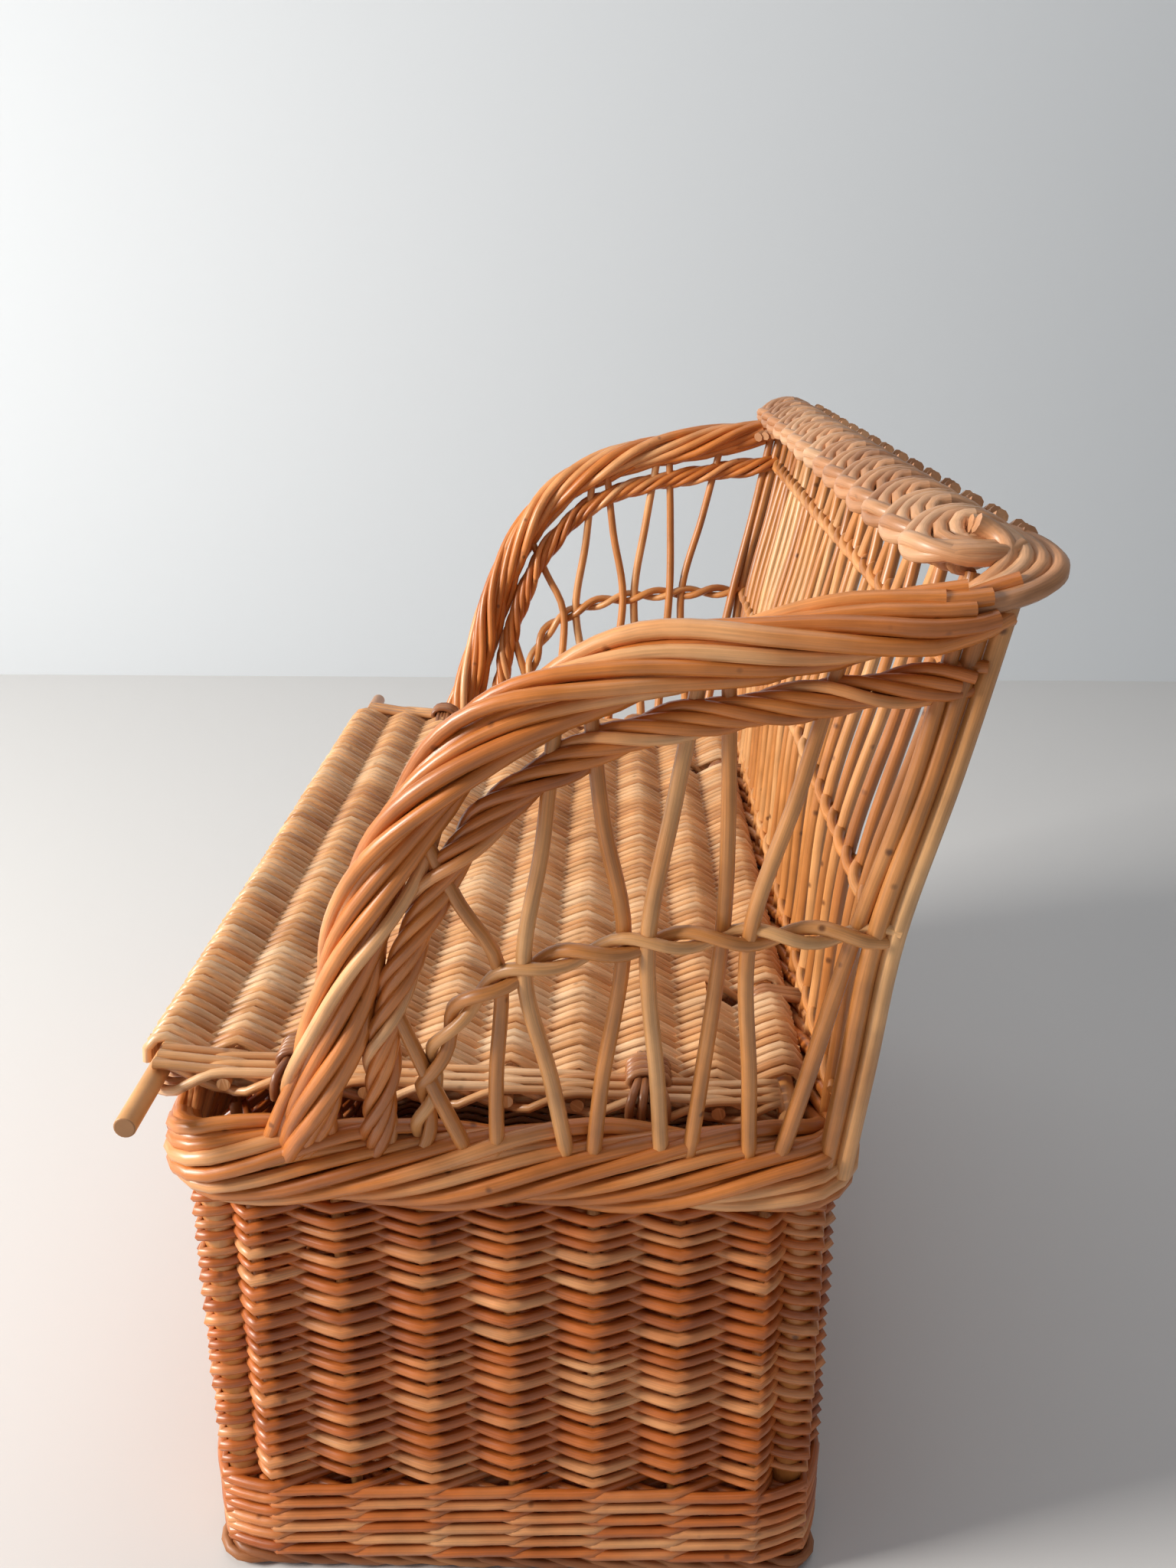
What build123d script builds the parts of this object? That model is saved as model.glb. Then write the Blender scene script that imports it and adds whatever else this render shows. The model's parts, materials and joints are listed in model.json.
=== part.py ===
from build123d import *

import os
from math import cos, radians, sin, tan

# Wicker toy chest that is also a small bench, in millimetres.
#
# A rectangular woven box stands on a foot border, on four thick corner posts. A rolled border closes its rim.
# Two arms and a leaning back of straight rods rise from that border, tied by twined bands and ended above by
# rolled rails and a wide plait. The seat is a woven lid, hinged at its back stick in two cane loops.
#
# Frame: +X to the chest's right end, +Y to its back, +Z up. The origin is the middle of the base, on the floor.

# The woven box
BOX_LENGTH = 700.0  # over the weave, left to right
BOX_DEPTH = 340.0  # over the weave, front to back
WALL_TOP = 250.0  # where the weave ends and the border starts
WALL_RIDGE = 17.0  # thickness of the weave over a stake
WALL_VALLEY = 9.0  # thickness of the weave between two stakes
WALE_TOP = 65.0  # height of the flatter band of waling at the foot
WALE_RIDGE = 14.0
WALE_VALLEY = 11.0
STAKE_PITCH = 45.0
STAKE_RADIUS = 3.5
POST_RADIUS = 9.5
POST_RISE = 34.0  # of the posts' sawn tops over the weave
POST_WELL_PLAY = 1.0  # round a post, in the border
WRAP_RADIUS = 15.0  # the weave where it turns round a corner post
HOLE_PLAY = 0.12  # radial room of a rod in the weave that grips it

# The foot border and the woven base
FOOT_HEIGHT = 12.0
FOOT_WIDTH = 22.0
FOOT_OVERHANG = 4.0
FOOT_ROUND = 4.0
BASE_HEIGHT = 12.0
BASE_STICK_RADIUS = 3.5
BASE_STICK_PITCH = 50.0
BASE_PLAY = 0.3

# The rolled border round the rim
BORDER_RADIUS = 13.0
BORDER_HEIGHT = 50.0  # at the ends and the back
FRONT_BORDER_HEIGHT = 55.0  # the lid rests on this one
BORDER_SIT = 0.6  # how many radii its lower roll's middle lies over the weave
BORDER_BELLY = 1.9  # how many radii wide it is half way up
BORDER_OUT = 0.5  # how far its middle stands out from the weave's face
STAKE_GRIP = 10.0  # how far a stake reaches up into the border
BORDER_GAP = 0.3
BORDER_CORNER = 20.0  # rounding of the rim's corners, seen from above

# The lid
LID_SLOPE = 3.14  # degrees, the front higher than the hinge
LID_END_ROOM = 5.5  # from its ends to the side borders
LID_BACK_ROOM = 3.0  # from its wrapped back edge to the back border
LID_FRONT_REACH = 0.8  # how far it runs on past the front border
LID_PITCHES = 9  # spaces between the lid's sticks
LID_RIDGE = 15.0
LID_VALLEY = 8.0
LID_RIB_RADIUS = 3.6
LID_WRAP_RADIUS = 8.5
HINGE_RISE = 42.0  # of the hinge's axis over the weave of the walls
BACK_STICK_RADIUS = 6.0
BACK_STICK_SEAT = 2.5  # how far its ends reach into the side borders
FRONT_STICK_RADIUS = 6.0
FRONT_STICK_OUT = 11.5  # how far its ends stand out past the side borders
END_BAND_WIDTH = 8.0
END_BAND_HEIGHT = 12.0
END_BAND_LIFT = 2.0  # keeps it clear of the front border
STICK_END_PLAY = 1.6  # round the turning back stick, in the side borders

# The cane ties at the lid's ends and the hinge loops
TIE_CANE = 2.0  # radius
TIE_SPREAD = 5.0
TIE_LENGTH = 12.0
TIE_DROP = 14.0
TIE_INSET = 18.0
TIE_GAP = 0.4
TIE_KNOT_RADIUS = 9.0
TIE_RIBS = (2, 7)  # counted from the front stick
LOOP_CANE = 2.4  # radius
LOOP_RADIUS = 9.0
LOOP_CORNERS = 6  # of each half ring, which keeps its cane in a few straight runs
LOOP_PLACE = 209.0  # from the middle of the chest
LOOP_TURN_PITCH = 6.0
LOOP_DEPTH = 2.5  # how far before the back border's middle a loop passes round its rods
LOOP_DROP = 6.0  # and how far under the hinge's axis
LOOP_NOTCH_WIDTH = 20.0
LOOP_NOTCH_RADIUS = 13.5

# The back, which leans: how far back and up its parts lie is measured from its rods' foot and the walls' top
ROD_RADIUS = 4.0
ROD_COUNT = 27
ROD_END_ROOM = 60.4  # of the chest's length, both ends together, beyond the last rods' feet
ROD_FAN = 1.09  # the rods' spacing at the top over that at the foot
ROD_INSET = 5.0  # from the back of the weave
ROD_FOOT_RISE = 12.0
MID_BAND_BACK = 11.5
MID_BAND_RISE = 171.0
ROD_TOP_BACK = 46.7
ROD_TOP_DROP = 15.0  # under the middle of the plait
UPPER_BAND_DROP = 49.0  # the same
FOOT_BAND_RISE = 9.0  # over the border
FOOT_STRAND_RADIUS = 2.6
BAND_OUT = 14.0  # how far the middle and upper bands end beyond the arms' feet
STRAND_RADIUS = 3.2  # of each of a twined band's two strands
STRAND_PLAY = 0.3
PLAIT_WIDTH = 60.0
PLAIT_HEIGHT = 28.0
PLAIT_EDGE_RADIUS = 12.0
PLAIT_CORNER = 26.0
PLAIT_BACK = 43.0
PLAIT_RISE = 340.0
PLAIT_OUT = 21.6  # it ends just inside the rails
BACK_POST_RADIUS = 5.0

# The arms, as points of the right one: outwards from its feet, back from the back rods' feet, and up from the
# top of the walls
RAIL_RADIUS = 12.0
ARM_STAKE_RADIUS = 3.8
ARM_FOOT_OUT = 1.5  # from the middle of the border
ARM_MID_OUT = 28.0
ARM_TOP_OUT = 34.0
RAIL_POINTS = [
    (0, -269, 40),
    (16, -249, 100),
    (25, -227, 170),
    (31, -201, 224),
    (33, -161, 268),
    (34, -105, 295),
    (35, -40, 308),
    (35, 35, 323),
    (32, 67, 332),
]
UNDER_BAND_POINTS = [
    (0, -229, BORDER_HEIGHT + BORDER_GAP),
    (19, -219, 115),
    (27, -198, 177),
    (32, -171, 221),
    (33, -135, 253),
    (34, -90, 271),
    (34, -25, 283),
    (33, 30, 290),
]
MID_BAND_POINTS = [
    (0, -207, BORDER_HEIGHT + BORDER_GAP),
    (18, -194, 102),
    (26, -175, 136),
    (ARM_MID_OUT, -143, 155),
    (ARM_MID_OUT, -105, 164),
    (ARM_MID_OUT, -55, 169),
    (ARM_MID_OUT, 3, MID_BAND_RISE),
]
# Each arm stake: back at the foot, back and up at the middle band, back and up in the rail
ARM_STAKES = [
    (-169, -164, 150, -195, 220),
    (-131, -151, 152, -135, 282),
    (-121, -106, 164, -122, 288),
    (-85, -96, 165, -73, 302),
    (-73, -60, 169, -63, 304),
    (-41, -50, 169, -13, 314),
    (-29, 1, MID_BAND_RISE, 33, 320),
]
FRONT_STAKE = [(0, -178, ROD_FOOT_RISE), (24, -215, 134)]
BACK_POST_POINTS = [(-2, 2, ROD_FOOT_RISE), (27, 13, MID_BAND_RISE), (33, 46, 320)]

# What follows from these sizes
HALF_LENGTH = BOX_LENGTH / 2
HALF_DEPTH = BOX_DEPTH / 2
POST_X = HALF_LENGTH - WRAP_RADIUS
POST_Y = HALF_DEPTH - WRAP_RADIUS
POST_TOP = WALL_TOP + POST_RISE
LONG_WALL_Y = HALF_DEPTH - WALL_RIDGE / 2
SHORT_WALL_X = HALF_LENGTH - WALL_RIDGE / 2
BORDER_TOP = WALL_TOP + FRONT_BORDER_HEIGHT
BORDER_X = HALF_LENGTH + BORDER_OUT
BORDER_Y = HALF_DEPTH + BORDER_OUT
INSIDE_X = BORDER_X - BORDER_RADIUS
HINGE_Y = BORDER_Y - BORDER_RADIUS - LID_WRAP_RADIUS - LID_BACK_ROOM
HINGE_Z = WALL_TOP + HINGE_RISE
LID_REACH = HINGE_Y + BORDER_Y + BORDER_RADIUS + LID_FRONT_REACH
LID_LENGTH = 2 * (INSIDE_X - LID_END_ROOM - END_BAND_WIDTH)
BACK_STICK_LENGTH = 2 * (INSIDE_X + BACK_STICK_SEAT)
FRONT_STICK_LENGTH = 2 * (BORDER_X + BORDER_RADIUS + FRONT_STICK_OUT)
ROD_PITCH = (BOX_LENGTH - ROD_END_ROOM) / (ROD_COUNT - 1)
ROD_FOOT_Y = HALF_DEPTH - ROD_INSET
ROD_FOOT_Z = WALL_TOP + ROD_FOOT_RISE
MID_BAND_Y = ROD_FOOT_Y + MID_BAND_BACK
MID_BAND_Z = WALL_TOP + MID_BAND_RISE
ROD_TOP_Y = ROD_FOOT_Y + ROD_TOP_BACK
ROD_TOP_Z = WALL_TOP + PLAIT_RISE - ROD_TOP_DROP
ARM_FOOT_X = BORDER_X + ARM_FOOT_OUT


def write(name, shape):
    """Writes one node's solids, however they were made, as one file."""
    solids = shape.solids() if hasattr(shape, "solids") else [s for x in shape for s in x.solids()]
    export_step(Compound(label=name, children=list(solids)), f"parts/{name}.step")


def mirrored(shape):
    """The same piece at the chest's other end."""
    if isinstance(shape, list):
        return [mirrored(piece) for piece in shape]
    return mirror(shape, about=Plane.YZ)


def rod(points, radius, mitred=False):
    """A round rod along points. Its corners are mitred, or arcs as wide as their two runs allow."""
    corners = [Vector(*p) for p in points]
    if len(corners) == 2:
        path = Line(*corners)
    elif mitred:
        path = Polyline(*corners)
    else:
        radii = []
        for before, here, after in zip(corners, corners[1:], corners[2:]):
            turn = (here - before).get_angle(after - here)
            shorter = min((here - before).length, (after - here).length)
            radii.append(0.45 * shorter / tan(radians(turn) / 2))
        path = FilletPolyline(*corners, radius=radii)
    profile = Plane(origin=path @ 0, z_dir=path % 0) * Circle(radius)
    return sweep(profile, path=path, transition=Transition.RIGHT if mitred else Transition.TRANSFORMED)


def strands(points, radius, gap, across):
    """The two strands of a twined band, which pass on both sides of the rods that they hold."""
    step = Vector(*across).normalized() * (gap + radius)
    return [rod([Vector(*p) + step * side for p in points], radius) for side in (-1, 1)]


def cut(shape, tools):
    """shape without the room that the tools take."""
    for tool in tools if isinstance(tools, list) else [tools]:
        shape = shape - tool
    return shape


def flutes(count, pitch, ridge, valley):
    """The section of a weave, with one flute bulging both ways over each of count stakes along X."""
    start = -count * pitch / 2
    upper = []
    lower = []
    for i in range(count):
        left = start + i * pitch
        upper.append(
            ThreePointArc((left, valley / 2), (left + pitch / 2, ridge / 2), (left + pitch, valley / 2))
        )
        lower.append(
            ThreePointArc((left, -valley / 2), (left + pitch / 2, -ridge / 2), (left + pitch, -valley / 2))
        )
    ends = [Line((side, -valley / 2), (side, valley / 2)) for side in (start, -start)]
    return make_face(Curve() + upper + lower + ends)


def stake_row(count, pitch, radius, low, high):
    """count upright stakes along X."""
    places = [((i - (count - 1) / 2) * pitch, 0) for i in range(count)]
    return [Pos(x, y, low) * extrude(Circle(radius), high - low) for x, y in places]


def woven_wall(count, turn, offset):
    """A fluted wall with its waling, holed for its stakes, turned and set out from the middle."""
    waling = Pos(0, 0, FOOT_HEIGHT) * extrude(
        flutes(count, STAKE_PITCH, WALE_RIDGE, WALE_VALLEY), WALE_TOP - FOOT_HEIGHT
    )
    weave = Pos(0, 0, WALE_TOP) * extrude(
        flutes(count, STAKE_PITCH, WALL_RIDGE, WALL_VALLEY), WALL_TOP - WALE_TOP
    )
    holes = stake_row(count, STAKE_PITCH, STAKE_RADIUS + HOLE_PLAY, 0, WALL_TOP)
    return Rot(0, 0, turn) * Pos(0, offset, 0) * cut(waling + weave, holes)


def corner_solids(radius, low, high):
    """Four upright cylinders on the corner posts' axes."""
    return [
        Pos(x, y, low) * extrude(Circle(radius), high - low)
        for x in (-POST_X, POST_X)
        for y in (-POST_Y, POST_Y)
    ]


def stake_counts():
    """How many stakes the long and the short walls hold."""
    return int(2 * POST_X / STAKE_PITCH + 0.6), int(2 * POST_Y / STAKE_PITCH + 0.6)


def build_box():
    """The foot, base, posts, walls and stakes. Returns the stakes for the borders' holes."""
    long_count, short_count = stake_counts()
    foot = extrude(
        RectangleRounded(BOX_LENGTH + 2 * FOOT_OVERHANG, BOX_DEPTH + 2 * FOOT_OVERHANG, WRAP_RADIUS), FOOT_HEIGHT
    )
    inner_length = BOX_LENGTH + 2 * FOOT_OVERHANG - 2 * FOOT_WIDTH
    inner_depth = BOX_DEPTH + 2 * FOOT_OVERHANG - 2 * FOOT_WIDTH
    foot -= extrude(Rectangle(inner_length, inner_depth), FOOT_HEIGHT)
    rim = foot.edges().group_by(Axis.Z)[-1].filter_by(lambda e: e.length > 0).sort_by(Axis.X)
    outer = [e for e in rim if abs(e.center().X) > inner_length / 2 + 1 or abs(e.center().Y) > inner_depth / 2 + 1]
    foot = fillet(outer, FOOT_ROUND)
    write("foot_border", foot)

    base = extrude(Rectangle(inner_length - 2 * BASE_PLAY, inner_depth - 2 * BASE_PLAY), BASE_HEIGHT)
    stick_count = int(inner_depth / BASE_STICK_PITCH)
    stick_length = inner_length - 4 * BASE_PLAY
    sticks = []
    for i in range(stick_count):
        place = Pos(0, (i - (stick_count - 1) / 2) * BASE_STICK_PITCH, BASE_HEIGHT / 2) * Rot(0, 90, 0)
        sticks.append(place * Cylinder(BASE_STICK_RADIUS, stick_length))
        base -= place * Cylinder(BASE_STICK_RADIUS + HOLE_PLAY, stick_length + BASE_PLAY)
    write("base_weave", base)
    write("base_sticks", sticks)

    write("corner_posts", corner_solids(POST_RADIUS, FOOT_HEIGHT, POST_TOP))
    post_holes = corner_solids(POST_RADIUS + HOLE_PLAY, 0, WALL_TOP)
    wraps = corner_solids(WRAP_RADIUS, FOOT_HEIGHT, WALL_TOP)
    write("corner_weave", [wrap - hole for wrap, hole in zip(wraps, post_holes)])
    wrap_room = corner_solids(WRAP_RADIUS + HOLE_PLAY, 0, WALL_TOP)
    for name, side in (("front", -1), ("back", 1)):
        write(f"{name}_weave", cut(woven_wall(long_count, 0, side * LONG_WALL_Y), wrap_room))
    short_wall = woven_wall(short_count, -90, SHORT_WALL_X)
    short_wall = cut(short_wall, wrap_room)
    write("right_weave", short_wall)
    write("left_weave", mirrored(short_wall))

    top = WALL_TOP + STAKE_GRIP
    long_row = stake_row(long_count, STAKE_PITCH, STAKE_RADIUS, FOOT_HEIGHT, top)
    short_row = stake_row(short_count, STAKE_PITCH, STAKE_RADIUS, FOOT_HEIGHT, top)
    rows = {
        "front": [Pos(0, -LONG_WALL_Y, 0) * s for s in long_row],
        "back": [Pos(0, LONG_WALL_Y, 0) * s for s in long_row],
        "right": [Rot(0, 0, -90) * Pos(0, SHORT_WALL_X, 0) * s for s in short_row],
    }
    rows["left"] = mirrored(rows["right"])
    for name, row in rows.items():
        write(f"{name}_stakes", row)
    return rows


def border_bar(length, height):
    """A straight length of rolled border along X, its middle on the X axis and its foot at the weave's top."""
    low = Pos(0, BORDER_RADIUS * BORDER_SIT) * Circle(BORDER_RADIUS)
    high = Pos(0, height - BORDER_RADIUS) * Circle(BORDER_RADIUS)
    belly = Pos(0, height / 2) * RectangleRounded(BORDER_BELLY * BORDER_RADIUS, height * 0.6, BORDER_RADIUS / 2)
    below = Pos(0, -height / 2) * Rectangle(4 * BORDER_RADIUS, height)
    section = low + high + belly - below
    return Pos(-length / 2, 0, WALL_TOP) * extrude(Plane.YZ * section, length)


def arm_line(points):
    """Points of the right arm, in the chest's own frame."""
    return [(ARM_FOOT_X + out, ROD_FOOT_Y + back, WALL_TOP + up) for out, back, up in points]


def arm_rods():
    """The right arm's stakes and its back post."""
    stakes = [rod(arm_line(FRONT_STAKE), ARM_STAKE_RADIUS)]
    for foot, mid_back, mid_up, top_back, top_up in ARM_STAKES:
        points = [(0, foot, ROD_FOOT_RISE), (ARM_MID_OUT, mid_back, mid_up), (ARM_TOP_OUT, top_back, top_up)]
        stakes.append(rod(arm_line(points), ARM_STAKE_RADIUS))
    return stakes, rod(arm_line(BACK_POST_POINTS), BACK_POST_RADIUS)


def back_rods():
    """The straight rods of the back, fanned a little to both ends."""
    rods = []
    for i in range(ROD_COUNT):
        x = (i - (ROD_COUNT - 1) / 2) * ROD_PITCH
        middle = x * (1 + ROD_FAN) / 2
        points = [(x, ROD_FOOT_Y, ROD_FOOT_Z), (middle, MID_BAND_Y, MID_BAND_Z), (x * ROD_FAN, ROD_TOP_Y, ROD_TOP_Z)]
        rods.append(rod(points, ROD_RADIUS, mitred=True))
    return rods


def hinge_loops():
    """Two turns of cane at each hinge, linking the lid's back stick to the back border."""
    near = Vector(0, HINGE_Y, HINGE_Z)
    far = Vector(0, BORDER_Y - LOOP_DEPTH, HINGE_Z - LOOP_DROP)
    along = (far - near).normalized()
    across = Vector(0, -along.Z, along.Y)
    corners = []
    for middle, first in ((far, 90), (near, 270)):
        for i in range(LOOP_CORNERS):
            angle = radians(first - 180 * i / (LOOP_CORNERS - 1))
            corners.append(middle + along * (LOOP_RADIUS * cos(angle)) + across * (LOOP_RADIUS * sin(angle)))
    path = Polyline(*corners, close=True)
    ring = sweep(Plane(origin=path @ 0, z_dir=path % 0) * Circle(LOOP_CANE), path=path, transition=Transition.RIGHT)
    places = [
        end * LOOP_PLACE + turn * LOOP_TURN_PITCH / 2 for end in (-1, 1) for turn in (-1, 1)
    ]
    return [Pos(x, 0, 0) * ring for x in places]


def build_borders(stakes, right_rods, rods, loops):
    """The four sides of the rolled border, each holed for what stands in it. Returns the right side."""
    side_length = 2 * (BORDER_Y - BORDER_RADIUS) - 2 * BORDER_GAP
    full_length = 2 * (BORDER_X + BORDER_RADIUS)
    full_depth = 2 * (BORDER_Y + BORDER_RADIUS)
    post_wells = corner_solids(POST_RADIUS + POST_WELL_PLAY, WALL_TOP - 1, BORDER_TOP + 1)
    stick_room = Pos(0, HINGE_Y, HINGE_Z) * Rot(0, 90, 0) * Cylinder(
        BACK_STICK_RADIUS + STICK_END_PLAY, BACK_STICK_LENGTH + 2 * STICK_END_PLAY
    )
    right = Pos(BORDER_X, 0, 0) * Rot(0, 0, 90) * border_bar(side_length, BORDER_HEIGHT)
    right = cut(right, stakes["right"] + right_rods + post_wells + [stick_room])
    write("border_right", right)
    write("border_left", mirrored(right))
    outline = extrude(RectangleRounded(full_length, full_depth, BORDER_CORNER), BORDER_TOP + 1)
    front = outline & Pos(0, -BORDER_Y, 0) * border_bar(full_length, FRONT_BORDER_HEIGHT)
    write("border_front", cut(front, stakes["front"] + post_wells))
    back = outline & Pos(0, BORDER_Y, 0) * border_bar(full_length, BORDER_HEIGHT)
    back = cut(back, stakes["back"] + rods + right_rods + mirrored(right_rods) + post_wells + loops)
    write("border_back", back)
    return right


def build_arms(stakes, post, right_border):
    """Both arms: rail, bands, stakes and back post."""
    gap = ARM_STAKE_RADIUS + 2 * STRAND_PLAY
    rail = cut(rod(arm_line(RAIL_POINTS), RAIL_RADIUS), stakes + [post, right_border])
    under = [cut(strand, stakes) for strand in strands(arm_line(UNDER_BAND_POINTS), STRAND_RADIUS, gap, (1, 0, 0))]
    middle = [cut(strand, stakes) for strand in strands(arm_line(MID_BAND_POINTS), STRAND_RADIUS, gap, (1, 0, 0))]
    pieces = {
        "arm_rail": rail,
        "arm_under_band": under,
        "arm_mid_band": middle,
        "arm_stakes": stakes,
        "back_post": post,
    }
    for name, piece in pieces.items():
        write(f"right_{name}", piece)
        write(f"left_{name}", mirrored(piece))


def band(y, z, half_length, radius):
    """A straight twined band along X, its strands before and behind the back's rods."""
    return strands([(-half_length, y, z), (half_length, y, z)], radius, ROD_RADIUS + STRAND_PLAY, (0, 1, 0))


def build_back(rods):
    """The back: its rods, three twined bands and the plait on top."""
    write("backrest_rods", rods)
    lean = (ROD_TOP_Y - MID_BAND_Y) / (ROD_TOP_Z - MID_BAND_Z)
    upper_z = WALL_TOP + PLAIT_RISE - UPPER_BAND_DROP
    upper_y = MID_BAND_Y + lean * (upper_z - MID_BAND_Z)
    foot_z = WALL_TOP + BORDER_HEIGHT + FOOT_BAND_RISE
    foot_y = ROD_FOOT_Y + (MID_BAND_Y - ROD_FOOT_Y) * (foot_z - ROD_FOOT_Z) / (MID_BAND_Z - ROD_FOOT_Z)
    foot_end = ROD_COUNT / 2 * ROD_PITCH
    band_end = ARM_FOOT_X + BAND_OUT
    bands = {
        "backrest_foot_band": band(foot_y, foot_z, foot_end, FOOT_STRAND_RADIUS),
        "backrest_mid_band": band(MID_BAND_Y, MID_BAND_Z, band_end, STRAND_RADIUS),
        "backrest_upper_band": band(upper_y, upper_z, band_end, STRAND_RADIUS),
    }
    for name, piece in bands.items():
        write(name, piece)
    edge = PLAIT_WIDTH / 2 - PLAIT_EDGE_RADIUS
    section = Ellipse(edge + PLAIT_EDGE_RADIUS / 2, PLAIT_HEIGHT / 2)
    section += Pos(-edge, 0) * Circle(PLAIT_EDGE_RADIUS) + Pos(edge, 0) * Circle(PLAIT_EDGE_RADIUS)
    half_length = ARM_FOOT_X + PLAIT_OUT
    plait = Pos(-half_length, 0, 0) * extrude(Plane.YZ * section, 2 * half_length)
    footprint = RectangleRounded(2 * half_length, PLAIT_WIDTH + 1, PLAIT_CORNER)
    plait &= Pos(0, 0, -PLAIT_HEIGHT) * extrude(footprint, 2 * PLAIT_HEIGHT)
    write("plait", Pos(0, ROD_FOOT_Y + PLAIT_BACK, WALL_TOP + PLAIT_RISE) * plait)


def lid_place():
    """Where the lid's own frame lies: its origin on the back stick's axis, its weave towards -Y."""
    return Pos(0, HINGE_Y, HINGE_Z) * Rot(-LID_SLOPE, 0, 0)


def lid_stick(y, radius, length):
    """A stick along X in the lid's frame."""
    return Pos(0, y, 0) * Rot(0, 90, 0) * Cylinder(radius, length)


def lid_tie(y, end_x):
    """A cane tie at the lid's right end: a wrapped knot, and three strands turned down over the edge."""
    top = LID_RIDGE / 2 + TIE_GAP
    knot_x = end_x - TIE_INSET
    knot = Pos(knot_x, y, top + TIE_CANE - TIE_KNOT_RADIUS / 2) * Rot(0, 90, 0) * Cylinder(TIE_KNOT_RADIUS, TIE_LENGTH)
    knot -= Pos(knot_x, y, top - TIE_KNOT_RADIUS * 2) * Box(4 * TIE_LENGTH, 4 * TIE_KNOT_RADIUS, 4 * TIE_KNOT_RADIUS)
    outer = end_x + TIE_GAP + TIE_CANE
    for side in (-1, 0, 1):
        strand = [
            (knot_x, y + side * TIE_SPREAD, top + TIE_CANE),
            (outer, y + side * TIE_SPREAD, top + TIE_CANE),
            (outer, y + side * TIE_SPREAD, top + TIE_CANE - TIE_DROP),
        ]
        knot += rod(strand, TIE_CANE, mitred=True)
    return knot


def build_lid():
    """The hinged lid: weave, ribs, front and back sticks, end bands and ties."""
    pitch = LID_REACH / LID_PITCHES
    rib_places = [-LID_REACH + i * pitch for i in range(1, LID_PITCHES)]
    end_x = LID_LENGTH / 2 + END_BAND_WIDTH
    section = Pos(-LID_REACH / 2, 0) * flutes(LID_PITCHES - 1, pitch, LID_RIDGE, LID_VALLEY)
    section += Pos(-LID_REACH / 2, 0) * Rectangle(LID_REACH, LID_VALLEY)
    for y in (0, -LID_REACH):
        section += Pos(y, 0) * Circle(LID_WRAP_RADIUS)
    for y in rib_places:
        section -= Pos(y, 0) * Circle(LID_RIB_RADIUS + HOLE_PLAY)
    section -= Circle(BACK_STICK_RADIUS + HOLE_PLAY)
    section -= Pos(-LID_REACH, 0) * Circle(FRONT_STICK_RADIUS + HOLE_PLAY)
    weave = Pos(-LID_LENGTH / 2, 0, 0) * extrude(Plane.YZ * section, LID_LENGTH)
    for side in (-1, 1):
        notch = Rot(0, 90, 0) * Cylinder(LOOP_NOTCH_RADIUS, LOOP_NOTCH_WIDTH)
        weave -= Pos(side * LOOP_PLACE, 0, 0) * notch

    ribs = [lid_stick(y, LID_RIB_RADIUS, 2 * end_x - 1) for y in rib_places]
    front = lid_stick(-LID_REACH, FRONT_STICK_RADIUS, FRONT_STICK_LENGTH)
    back = lid_stick(0, BACK_STICK_RADIUS, BACK_STICK_LENGTH)
    band_run = LID_REACH - 2 * LID_WRAP_RADIUS
    profile = Pos(0, END_BAND_LIFT) * SlotOverall(END_BAND_HEIGHT, END_BAND_WIDTH, rotation=90)
    end_band = Pos(end_x - END_BAND_WIDTH / 2, -LID_WRAP_RADIUS, 0) * extrude(Plane.XZ * profile, band_run)
    end_band = cut(end_band, [lid_stick(y, LID_RIB_RADIUS + HOLE_PLAY, 2 * end_x) for y in rib_places])
    ties = [lid_tie(-LID_REACH + i * pitch, end_x) for i in TIE_RIBS]

    place = lid_place()
    pieces = {
        "lid_weave": weave,
        "lid_ribs": ribs,
        "lid_front_stick": front,
        "lid_back_stick": back,
        "lid_end_band_right": end_band,
        "lid_end_band_left": mirrored(end_band),
        "lid_ties_right": ties,
        "lid_ties_left": mirrored(ties),
    }
    for name, piece in pieces.items():
        solids = piece if isinstance(piece, list) else [piece]
        write(name, [place * solid for solid in solids])


def main():
    """Builds every node in the order in which the maker adds them."""
    os.makedirs("parts", exist_ok=True)
    stakes = build_box()
    arm_stakes, back_post = arm_rods()
    rods = back_rods()
    loops = hinge_loops()
    write("hinge_loops", loops)
    right_rods = arm_stakes + [back_post]
    right_border = build_borders(stakes, right_rods, rods, loops)
    build_arms(arm_stakes, back_post, right_border)
    build_back(rods)
    build_lid()


main()
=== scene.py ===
"""Looks of a wicker toy chest that is also a small bench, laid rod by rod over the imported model."""

import json
import logging
import math
import random
from dataclasses import dataclass, field
from enum import Enum

import bmesh
import bpy
from mathutils import Matrix, Vector


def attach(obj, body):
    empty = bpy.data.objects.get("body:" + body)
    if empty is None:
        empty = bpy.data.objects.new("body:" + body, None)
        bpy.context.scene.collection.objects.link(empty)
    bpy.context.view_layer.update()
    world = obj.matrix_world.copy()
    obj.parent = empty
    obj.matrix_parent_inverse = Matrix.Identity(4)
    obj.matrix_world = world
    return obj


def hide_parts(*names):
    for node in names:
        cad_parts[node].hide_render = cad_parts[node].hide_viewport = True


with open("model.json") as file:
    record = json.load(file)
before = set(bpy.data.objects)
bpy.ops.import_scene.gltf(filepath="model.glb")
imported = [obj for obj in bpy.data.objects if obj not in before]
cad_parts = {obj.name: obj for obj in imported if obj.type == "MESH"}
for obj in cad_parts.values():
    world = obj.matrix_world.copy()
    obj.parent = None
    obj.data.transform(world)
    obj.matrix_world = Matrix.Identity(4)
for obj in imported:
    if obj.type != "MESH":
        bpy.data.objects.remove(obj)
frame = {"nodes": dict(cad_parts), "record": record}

LOG = logging.getLogger("wicker_chest")
MM = 0.001
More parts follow.
